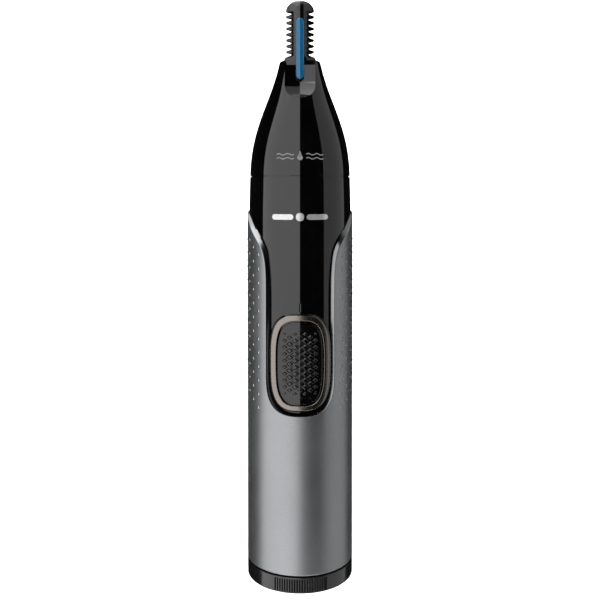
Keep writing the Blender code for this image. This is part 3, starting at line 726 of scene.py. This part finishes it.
def make_pad(material):
    half, low, high = PAD
    shape = barrel(half, low, high, 3000)
    right = shape[shape[:, 0] >= 0]
    right = right[np.argsort(right[:, 1])]
    ease = (1 - np.cos(np.linspace(0, math.pi, count(400)))) / 2
    zs = low + 0.01 + (high - low - 0.02) * (0.3 * ease + 0.7 * np.linspace(0, 1, len(ease)))
    w = np.interp(zs, right[:, 1], right[:, 0])
    columns = count(230)
    x = w[:, None] * np.linspace(-1, 1, columns)[None, :]
    z = np.repeat(zs[:, None], columns, axis=1)
    edge = np.minimum(w[:, None] - np.abs(x), np.minimum(z - low, high - z))
    rounded = PAD_FACE - 0.1 * (1 - arc(edge / 0.25))
    front = on_panel(x, z, rounded + diamond_lift(x, z), BUTTON_FLATNESS)
    back = on_panel(x, z, np.full_like(x, 0.1), BUTTON_FLATNESS)
    verts = np.concatenate([front.reshape(-1, 3), back.reshape(-1, 3)])
    rows = len(zs)
    offset = rows * columns
    faces = grid_faces(rows, columns) + grid_faces(rows, columns, start=offset)
    ends = (0, columns - 1)
    border = [(i * columns + j, (i + 1) * columns + j) for i in range(rows - 1) for j in ends]
    ends = (0, rows - 1)
    border += [(i * columns + j, i * columns + j + 1) for j in range(columns - 1) for i in ends]
    for a, b in border:
        faces.append((a, b, b + offset, a + offset))
    piece("pad_skin", verts, faces, "switch", material, ("button_pad",), 50.0)


# --- Battery cap

RIB_PITCH = math.radians(2.68)
RIB_COUNT = 20  # ribs in each of the two ribbed zones, front and back
RIB_STEPS = 12
RIB_ZONE = RIB_PITCH * RIB_COUNT / 2
RIB_HALF = 0.31  # half width of a rib
RIB_ROUND = 0.325  # radius of a rib's crest
CAP_ROLL = 0.42  # rounding at the cap's foot
CAP_EDGE = 0.15  # and at its top
CAP_SPIGOT = (
    (10.3, CAP_TOP),
    (10.2, CAP_TOP + 0.1),
    (10.2, 9.3),
    (9.4, 9.4),
    (9.3, 9.2),
    (9.3, 1.7),
    (0.02, 1.6),
)


def make_cap(material):
    half = RIB_COUNT * RIB_STEPS // 2
    zone = np.arange(-half, half + 1) * RIB_PITCH / RIB_STEPS
    between = np.linspace(zone[-1] + 0.02, math.pi - zone[-1] - 0.02, count(70))
    angles = np.concatenate([zone, between, zone + math.pi, between + math.pi])
    profile = [(0.02, 0.0), (6.0, 0.0)]
    for turn in np.radians(np.linspace(0, 90, 8)):
        out, up = math.sin(turn) - 1, 1 - math.cos(turn)
        profile.append((CAP_RADIUS + CAP_ROLL * out, CAP_ROLL * up))
    for z in np.linspace(0.5, CAP_TOP - 0.2, count(24)):
        profile.append((CAP_RADIUS, z))
    for turn in np.radians(np.linspace(20, 90, 5)):
        out, up = math.cos(turn) - 1, math.sin(turn) - 1
        profile.append((CAP_RADIUS + CAP_EDGE * out, CAP_TOP + CAP_EDGE * up))
    profile += CAP_SPIGOT
    grid = turned_points(profile, angles)
    folded = np.abs((angles + math.pi / 2) % math.pi - math.pi / 2)
    across = np.abs(folded / RIB_PITCH % 1.0 - 0.5) * 2 * RIB_HALF
    crest = RIB_ROUND - np.sqrt(RIB_ROUND**2 - across**2)
    groove = np.where(folded < RIB_ZONE + 0.001, crest, 0.0)
    z = grid[..., 2]
    fade = smooth((z - 0.25) / 0.35) * smooth((CAP_TOP - 0.3 - z) / 0.25)
    outer = np.hypot(grid[..., 0], grid[..., 1]) > CAP_RADIUS - 0.6
    shrink = np.where(outer, 1 - groove[None, :] * fade / CAP_RADIUS, 1.0)
    grid[..., :2] *= shrink[..., None]
    tube_piece("cap_skin", grid, "cap", material, ("battery_cap",), 50.0)


# --- Return spring

SPRING_WIRE = 0.22  # radius of the wire
SPRING_TURNS = 3.0


def make_return_spring(material):
    """Coil over the blade's carrier, from the bottom to the top of the frame's spring."""
    low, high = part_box("return_spring")
    coil = high[0] / MM - SPRING_WIRE
    bottom = low[2] / MM + SPRING_WIRE
    top = high[2] / MM - SPRING_WIRE
    turn = np.linspace(0.0, SPRING_TURNS * math.tau, count(160))[:, None]
    round_wire = circle(12)[None, :]
    radius = coil + SPRING_WIRE * np.cos(round_wire)
    height = mix(bottom, top, turn / turn[-1]) + SPRING_WIRE * np.sin(round_wire)
    rings = np.stack([radius * np.cos(turn), radius * np.sin(turn), height], axis=-1)
    node = "return_spring"
    spring = tube_piece(node + "_coil", rings, "head", material, (node,))
    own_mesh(spring)


# --- Grip dots and marks

DOT_RADIUS = 0.4
DOT_LIFT = 0.19
DOT_PITCH = 3.317
DOT_LOW = 44.6
DOT_HIGH = 85.2
DOT_ROWS = 12
DOT_COLUMNS = 7  # columns on each side
DOT_FIRST = 50.0  # angle of the first column from the front
DOT_STEP = 10.25  # and from one column to the next


def add_dot(angle, z, verts, faces):
    """Adds one low dome on the sleeve to lists of points and faces."""
    rings, around = 5, 14
    out = Vector((math.sin(angle), -math.cos(angle), 0.0))
    across = Vector((math.cos(angle), math.sin(angle), 0.0))
    up = Vector((0.0, 0.0, 1.0))
    centre = out * (sleeve_radius(z) - 0.03) + up * z
    start = len(verts)
    for ring in range(rings):
        tilt = math.radians(90 * ring / rings)
        flat = DOT_RADIUS * math.cos(tilt)
        lift = DOT_LIFT * math.sin(tilt)
        for turn in circle(around):
            verts.append(centre + flat * (across * math.cos(turn) + up * math.sin(turn)) + out * lift)
    verts.append(centre + out * DOT_LIFT)
    tip = len(verts) - 1
    faces += grid_faces(rings, around, False, True, start)
    last = start + (rings - 1) * around
    for k in range(around):
        faces.append((last + k, last + (k + 1) % around, tip))
    faces.append(tuple(start + k for k in range(around)))


def make_dots(material):
    verts = []
    faces = []
    for side in (-1, 1):
        for column in range(DOT_COLUMNS):
            angle = math.radians(side * (DOT_FIRST + DOT_STEP * column))
            for row in range(DOT_ROWS):
                z = DOT_LOW + DOT_PITCH * (row + 0.5 * column)
                if z <= DOT_HIGH:
                    add_dot(angle, z, verts, faces)
    piece("grip_dots", verts, faces, "body", material, (), 60.0)


def head_radius(z):
    cone = cubic(CONE, 200)
    return np.interp(z, cone[:, 1], cone[:, 0])


def print_on(name, spans, radius_at, body, material):
    """Thin printed shapes; each span is (first x, last x, lower edge, upper edge), the edges of x."""
    verts = []
    faces = []
    for first, last, low, high in spans:
        x = np.linspace(first, last, count(40))
        edges = np.stack([low(x), high(x)], axis=1)
        start = len(verts)
        for height in (-0.04, 0.012):
            for k in range(len(x)):
                for z in edges[k]:
                    radius = float(radius_at(np.array(z))) + height
                    verts.append((x[k], -math.sqrt(radius**2 - x[k] ** 2), z))
        layer = 2 * len(x)
        for k in range(len(x) - 1):
            a = start + 2 * k
            faces.append((a, a + 1, a + 3, a + 2))
            faces.append((a + layer, a + layer + 1, a + layer + 3, a + layer + 2))
            faces.append((a, a + 2, a + 2 + layer, a + layer))
            faces.append((a + 1, a + 3, a + 3 + layer, a + 1 + layer))
        for a in (start, start + layer - 2):
            faces.append((a, a + 1, a + 1 + layer, a + layer))
    piece(name, verts, faces, body, material, (), 30.0)


def stroke(first, last, middle, half, swell=0.0):
    """A level line with round ends, as one span; with a swell it is a wave of two crests."""

    def line(x):
        return middle + swell * np.sin((x - first) / (last - first) * 2 * math.tau)

    def reach(x):
        return half * arc(np.minimum(x - first, last - x) / half) + 0.004

    return (first, last, lambda x: line(x) - reach(x), lambda x: line(x) + reach(x))


def drop(half, bottom, top):
    """A water drop, as one span: round below and pointed above."""
    centre = bottom + half

    def upper(x):
        share = np.clip(1 - np.abs(x) / half, 0, 1)
        return centre + (top - centre) * share**1.6 + 0.25 * half * np.sqrt(share)

    def lower(x):
        return centre - half * np.sqrt(np.clip(1 - (x / half) ** 2, 0, 1))

    return (-half, half, lower, upper)


def make_prints(bright, pale):
    """Plain bars on the neck, and a water sign on the head."""
    middle = 90.0
    spans = [
        stroke(-6.4, -1.5, middle, 0.62),
        stroke(-0.95, 0.95, middle, 0.93),
        stroke(1.5, 6.4, middle, 0.62),
    ]
    print_on("neck_print", spans, panel_radius, "body", bright)
    middle = 103.65
    spans = [drop(0.66, 102.75, 104.85)]
    for side in (-1, 1):
        near, far = sorted((side * 1.35, side * 5.3))
        for lift in (-0.45, 0.45):
            spans.append(stroke(near, far, middle + lift, 0.11, 0.17))
    print_on("water_print", spans, head_radius, "head", pale)


# --- Materials


class Finish:
    """A material under construction; stretch widens its noise along the axes."""

    def __init__(self, name, stretch=(1.0, 1.0, 1.0)):
        self.material = bpy.data.materials.new(name)
        self.material.use_nodes = True
        self.tree = self.material.node_tree
        self.shader = self.tree.nodes["Principled BSDF"]
        self.place = self.coordinates(stretch)

    def add(self, kind, **values):
        node = self.tree.nodes.new(kind)
        for key, value in values.items():
            setattr(node, key, value)
        return node

    def link(self, out, into):
        self.tree.links.new(out, into)

    def drive(self, out, socket):
        self.link(out, self.shader.inputs[socket])

    def set(self, **values):
        for key, value in values.items():
            self.shader.inputs[key.replace("_", " ")].default_value = value

    def coordinates(self, scale):
        place = self.add("ShaderNodeTexCoord")
        mapping = self.add("ShaderNodeMapping")
        mapping.inputs["Scale"].default_value = scale
        self.link(place.outputs["Object"], mapping.inputs["Vector"])
        return mapping.outputs["Vector"]

    def noise(self, scale, detail=3.0, roughness=0.5):
        made = self.add("ShaderNodeTexNoise")
        made.inputs["Scale"].default_value = scale
        made.inputs["Detail"].default_value = detail
        made.inputs["Roughness"].default_value = roughness
        self.link(self.place, made.inputs["Vector"])
        return made.outputs["Fac"]

    def spread(self, source, low, high, start=0.3, end=0.7):
        made = self.add("ShaderNodeMapRange")
        made.inputs["From Min"].default_value = start
        made.inputs["From Max"].default_value = end
        made.inputs["To Min"].default_value = low
        made.inputs["To Max"].default_value = high
        self.link(source, made.inputs["Value"])
        return made.outputs["Result"]

    def paint(self, source, colours, places=(0.3, 0.7)):
        """Base colour that runs through the colours, with one place for each."""
        made = self.add("ShaderNodeValToRGB")
        stops = made.color_ramp.elements
        while len(stops) < len(colours):
            stops.new(0.5)
        for stop, place, colour in zip(stops, places, colours):
            stop.position = place
            stop.color = (*colour, 1.0)
        self.link(source, made.inputs["Fac"])
        self.drive(made.outputs["Color"], "Base Color")

    def rough(self, source, low, high):
        self.drive(self.spread(source, low, high), "Roughness")

    def bump(self, height, strength, distance):
        made = self.add("ShaderNodeBump")
        made.inputs["Strength"].default_value = strength
        made.inputs["Distance"].default_value = distance
        self.link(height, made.inputs["Height"])
        self.drive(made.outputs["Normal"], "Normal")


def grey(value):
    return (value, value, value)


def clouded(name, colours, rough, patch, grain, strength, metallic=0.0, depth=0.00001):
    """Patchy colour and gloss, with a finer grain in the surface."""
    n = Finish(name)
    cloud = n.noise(patch)
    n.paint(cloud, colours)
    n.rough(cloud, *rough)
    n.set(Metallic=metallic)
    n.bump(n.noise(grain, 2.0), strength, depth)
    return n.material


def moulded(name, colours, rough, scale=1200.0, strength=0.15, metallic=0.0, depth=0.00003):
    """One grain for colour, gloss and surface."""
    n = Finish(name)
    grain = n.noise(scale)
    n.paint(grain, colours)
    n.rough(grain, *rough)
    n.set(Metallic=metallic)
    n.bump(grain, strength, depth)
    return n.material


def lined_metal(name, colours, rough, stretch=(1.0, 1.0, 1.0), scale=1500.0):
    """Metal with fine lines; the lines run across the axis that is stretched most."""
    n = Finish(name, stretch)
    lines = n.noise(scale, 4.0, 0.6)
    n.paint(lines, colours)
    n.rough(lines, *rough)
    n.set(Metallic=1.0)
    n.bump(lines, 0.12, 0.00002)
    return n.material


def silver_lacquer():
    n = Finish("silver_lacquer_finish")
    flake = n.noise(9000.0, 2.0, 0.6)
    n.paint(flake, ((0.185, 0.192, 0.197), (0.245, 0.252, 0.257)))
    n.rough(n.noise(90.0), 0.36, 0.42)
    n.set(Metallic=0.97, Coat_Weight=0.1, Coat_Roughness=0.25)
    n.bump(flake, 0.1, 0.00002)
    return n.material


def gloss_black():
    n = Finish("gloss_black_finish")
    haze = n.noise(120.0)
    n.paint(haze, (grey(0.0002), (0.0004, 0.0004, 0.0005)), (0.35, 0.65))
    n.rough(haze, 0.03, 0.05)
    n.bump(n.noise(30.0, 2.0), 0.015, 0.0002)
    return n.material


def satin_grey():
    """Satin plastic with painted shade in the grooves between the ribs: its specular level falls
    towards the groove bottoms.
    """
    n = Finish("satin_grey_finish")
    grain = n.noise(5200.0, 3.0, 0.6)
    n.paint(n.noise(220.0), ((0.0018, 0.0018, 0.0019), (0.003, 0.003, 0.0031)))
    n.rough(grain, 0.15, 0.2)
    # Painted shade: specular level drops as the surface comes nearer the axis, so the rib grooves read
    # darker.
    radius = n.add("ShaderNodeVectorMath", operation="LENGTH")
    n.link(n.coordinates((1.0, 1.0, 0.0)), radius.inputs[0])
    deep, shallow = (CAP_RADIUS - 0.055) * MM, (CAP_RADIUS - 0.015) * MM
    groove_shade = n.spread(radius.outputs["Value"], 0.03, 0.55, deep, shallow)
    n.drive(groove_shade, "Specular IOR Level")
    n.bump(grain, 0.06, 0.00001)
    return n.material


def warm_metal():
    n = Finish("warm_metal_finish", (1.0, 1.0, 10.0))
    lines = n.noise(1400.0, 4.0, 0.65)
    n.paint(lines, ((0.15, 0.133, 0.118), (0.2, 0.18, 0.163)))
    n.rough(lines, 0.2, 0.3)
    n.set(Metallic=1.0)
    n.bump(lines, 0.08, 0.00002)
    return n.material


def magnet_grey():
    """Sintered ferrite: coarse dark grains, dull with a few brighter specks."""
    n = Finish("magnet_finish")
    grain = n.noise(2800.0, 5.0, 0.7)
    colours = ((0.018, 0.018, 0.02), (0.05, 0.05, 0.055), (0.11, 0.11, 0.12))
    n.paint(grain, colours, (0.35, 0.62, 0.72))
    n.rough(grain, 0.5, 0.75)
    n.set(Metallic=0.3)
    n.bump(grain, 0.35, 0.00004)
    return n.material


def winding():
    """Enamelled wire: fine bands round the armature."""
    n = Finish("winding_finish")
    wave = n.add("ShaderNodeTexWave", wave_type="BANDS", bands_direction="Z")
    wave.inputs["Scale"].default_value = 900.0
    wave.inputs["Distortion"].default_value = 1.5
    n.link(n.place, wave.inputs["Vector"])
    bands = wave.outputs["Fac"]
    n.paint(bands, ((0.16, 0.05, 0.02), (0.48, 0.2, 0.09)), (0.1, 0.8))
    n.rough(bands, 0.22, 0.4)
    n.set(Metallic=0.9, Coat_Weight=0.4, Coat_Roughness=0.1)
    n.bump(bands, 0.5, 0.00006)
    return n.material


CELL_BAND = 0.049  # height in metres where the label's colour changes


def cell_sleeve():
    """Plain printed sleeve: green below, a copper coloured band above, with a soft wrinkle."""
    n = Finish("cell_label_finish", (1.0, 1.0, 0.2))
    split = n.add("ShaderNodeSeparateXYZ")
    n.link(n.coordinates((1.0, 1.0, 1.0)), split.inputs["Vector"])
    height = n.spread(split.outputs["Z"], 0.0, 1.0, CELL_BAND - 0.0002, CELL_BAND + 0.0002)
    n.paint(height, ((0.02, 0.16, 0.075), (0.55, 0.3, 0.13)), (0.4, 0.6))
    wrinkle = n.noise(500.0, 2.0)
    n.rough(wrinkle, 0.2, 0.32)
    n.set(Metallic=0.5)
    n.bump(wrinkle, 0.1, 0.00005)
    return n.material


def inner_finishes():
    """The finish of every piece that the outer skins don't stand for."""
    colours = ((0.42, 0.42, 0.43), (0.58, 0.58, 0.59))
    steel = lined_metal("blade_steel_finish", colours, (0.2, 0.32), (1, 1, 12))
    colours = ((0.5, 0.5, 0.51), (0.62, 0.62, 0.63))
    shaft = lined_metal("shaft_steel_finish", colours, (0.16, 0.26), (1, 1, 0.1))
    colours = ((0.38, 0.38, 0.4), (0.55, 0.55, 0.57))
    wire = lined_metal("spring_steel_finish", colours, (0.25, 0.4), scale=2600.0)
    colours = ((0.52, 0.49, 0.44), (0.68, 0.65, 0.59))
    nickel = lined_metal("nickel_plate_finish", colours, (0.16, 0.3), (1, 1, 3))
    colours = ((0.5, 0.22, 0.1), (0.72, 0.36, 0.19))
    copper = lined_metal("copper_finish", colours, (0.24, 0.38))
    colours = ((0.62, 0.62, 0.6), (0.72, 0.72, 0.7))
    white = moulded("white_plastic_finish", colours, (0.38, 0.5))
    colours = (grey(0.006), grey(0.014))
    rubber = moulded("black_rubber_finish", colours, (0.55, 0.75), 2600.0, 0.35)
    colours = ((0.028, 0.029, 0.03), (0.045, 0.046, 0.048))
    nylon = moulded("grey_nylon_finish", colours, (0.36, 0.5), 1800.0, 0.25)
    groups = (
        (steel, ("moving_blade",)),
        (shaft, ("motor_shaft",)),
        (wire, ("battery_spring",)),
        (nickel, ("motor_can", "positive_contact", "negative_contact_strip")),
        (nickel, ("switch_fixed_contact", "switch_moving_contact", "cap_contact_plate")),
        (copper, ("motor_terminal_left", "motor_terminal_right")),
        (winding(), ("motor_armature",)),
        (magnet_grey(), ("motor_magnet_left", "motor_magnet_right")),
        (cell_sleeve(), ("battery_cell",)),
        (white, ("blade_carrier", "head_bottom_plate", "drive_cam")),
        (white, ("inner_chassis", "switch_slider")),
        (rubber, ("head_seal_ring", "shaft_seal")),
        (nylon, ("motor_end_cap", "motor_bulkhead")),
    )
    return {node: finish for finish, nodes in groups for node in nodes}


# --- Stage

COVE_FLAT = 500.0  # radius of the level floor
COVE_ROUND = 500.0  # radius of the turn from floor to wall
COVE_HIGH = 1500.0


def make_stage():
    """Pale round floor that turns up into a wall."""
    profile = [(0.0, 0.0), (COVE_FLAT, 0.0)]
    for turn in np.radians(np.linspace(0, 90, 16)):
        profile.append((COVE_FLAT + COVE_ROUND * math.sin(turn), COVE_ROUND * (1 - math.cos(turn))))
    profile.append((COVE_FLAT + COVE_ROUND, COVE_HIGH))
    grid = turned_points(profile, circle(96))
    grid[..., 2] -= 0.02
    rows, columns = grid.shape[:2]
    mesh = clean_mesh("studio_cove", grid, grid_faces(rows, columns, False, True))
    cove = add_object("studio_cove", mesh)
    material = bpy.data.materials.new("cove_white")
    material.use_nodes = True
    shader = material.node_tree.nodes["Principled BSDF"]
    shader.inputs["Base Color"].default_value = (0.9, 0.9, 0.9, 1.0)
    shader.inputs["Roughness"].default_value = 0.9
    shader.inputs["Specular IOR Level"].default_value = 0.0
    shader.inputs["Emission Color"].default_value = (1.0, 1.0, 1.0, 1.0)
    shader.inputs["Emission Strength"].default_value = 0.75
    mesh.materials.append(material)
    cove.visible_glossy = False
    cove.visible_shadow = False


def aim(thing, place, target):
    """Puts a light or a camera in its place and turns it to its target, both in millimetres."""
    thing.location = Vector(place) * MM
    thing.rotation_mode = "QUATERNION"
    thing.rotation_quaternion = (Vector(target) * MM - thing.location).to_track_quat("-Z", "Y")


def softbox(name, place, target, size, radiance):
    data = bpy.data.lights.new(name, "AREA")
    data.shape = "RECTANGLE"
    data.size = size[0] * MM
    data.size_y = size[1] * MM
    data.energy = radiance * math.pi * data.size * data.size_y
    made = add_object(name, data)
    aim(made, place, target)
    made.visible_camera = False


# Name, place, target, size and radiance
LIGHTS = (
    ("left_softbox", (-303.0, -297.0, 320.0), (0.0, 6.0, 320.0), (850.0, 1500.0), 2.1),
    ("right_softbox", (393.5, -34.0, 150.0), (0.0, 0.0, 150.0), (475.0, 1100.0), 0.74),
    ("top_left_softbox", (-210.0, 80.0, 620.0), (-210.0, 80.0, 0.0), (420.0, 760.0), 2.7),
    ("top_right_softbox", (210.0, 170.0, 620.0), (210.0, 170.0, 0.0), (420.0, 580.0), 0.7),
    ("floor_bounce", (0.0, -60.0, -90.0), (0.0, -60.0, 0.0), (160.0, 90.0), 2.4),
    ("rear_strip", (0.0, 480.0, 110.0), (0.0, 0.0, 110.0), (130.0, 900.0), 2.0),
)


def make_lights():
    """Tall softboxes on both sides, with weaker light from above, below and behind."""
    for light in LIGHTS:
        softbox(*light)
    world = bpy.data.worlds.new("studio_world")
    world.use_nodes = True
    background = world.node_tree.nodes["Background"].inputs
    background["Color"].default_value = (1.0, 1.0, 1.0, 1.0)
    background["Strength"].default_value = 0.01
    bpy.context.scene.world = world


CAMERA_BACK = 202.14
CAMERA_HEIGHT = 95.97
CAMERA_AIM = 69.42


def make_camera():
    data = bpy.data.cameras.new("camera")
    data.lens = 50.0
    data.sensor_width = 36.0
    data.clip_start = 0.01
    data.clip_end = 20.0
    camera = add_object("camera", data)
    aim(camera, (0.0, -CAMERA_BACK, CAMERA_HEIGHT), (0.0, 0.0, CAMERA_AIM))
    bpy.context.scene.camera = camera


def repaint(node, material):
    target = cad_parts[node]
    target.data.materials.clear()
    target.data.materials.append(material)


def dress_body():
    """Sleeve with its bevel and dots, panel and head shell."""
    make_sleeve(silver_lacquer())
    colours = ((0.16, 0.165, 0.17), (0.19, 0.195, 0.2))
    make_bevel(clouded("silver_bevel_finish", colours, (0.17, 0.23), 160.0, 6000.0, 0.04, 1.0))
    colours = ((0.24, 0.245, 0.25), (0.3, 0.305, 0.31))
    make_dots(clouded("silver_dots_finish", colours, (0.2, 0.26), 900.0, 6000.0, 0.04, 1.0))
    black = gloss_black()
    make_housing(black)
    make_head(black)


def dress_comb():
    """Guard and both blue strips."""
    colours = (grey(0.0006), grey(0.0011))
    make_guard(moulded("guard_black_finish", colours, (0.08, 0.13), 1800.0, 0.05, depth=0.00002))
    colours = ((0.0001, 0.028, 0.063), (0.0002, 0.033, 0.074))
    blue = clouded("blue_plastic_finish", colours, (0.1, 0.16), 400.0, 2600.0, 0.05, depth=0.00002)
    make_strip(-1, blue, "guard_strip_front")
    make_strip(1, blue, "guard_strip_rear")


def dress_button():
    """Slide button, battery cap and printed marks."""
    colours = (grey(0.0004), (0.0008, 0.0008, 0.0009))
    pad = clouded("pad_black_finish", colours, (0.05, 0.09), 700.0, 3200.0, 0.012)
    # The pad's black also goes on the bezel's foot, as painted shadow round the ring.
    make_bezel(warm_metal(), pad)
    make_pad(pad)
    make_cap(satin_grey())
    colours = (grey(0.34), grey(0.38))
    ink = moulded("print_bright_finish", colours, (0.16, 0.22), 1200.0, 0.05, 0.8, 0.00002)
    make_prints(ink, moulded("print_pale_finish", (grey(0.06), grey(0.075)), (0.3, 0.4)))


def main():
    dress_body()
    dress_comb()
    dress_button()
    finishes = inner_finishes()
    make_return_spring(finishes["battery_spring"])
    for node, finish in finishes.items():
        repaint(node, finish)
    make_stage()
    make_lights()
    make_camera()
    bpy.context.scene.view_settings.view_transform = "Standard"


main()
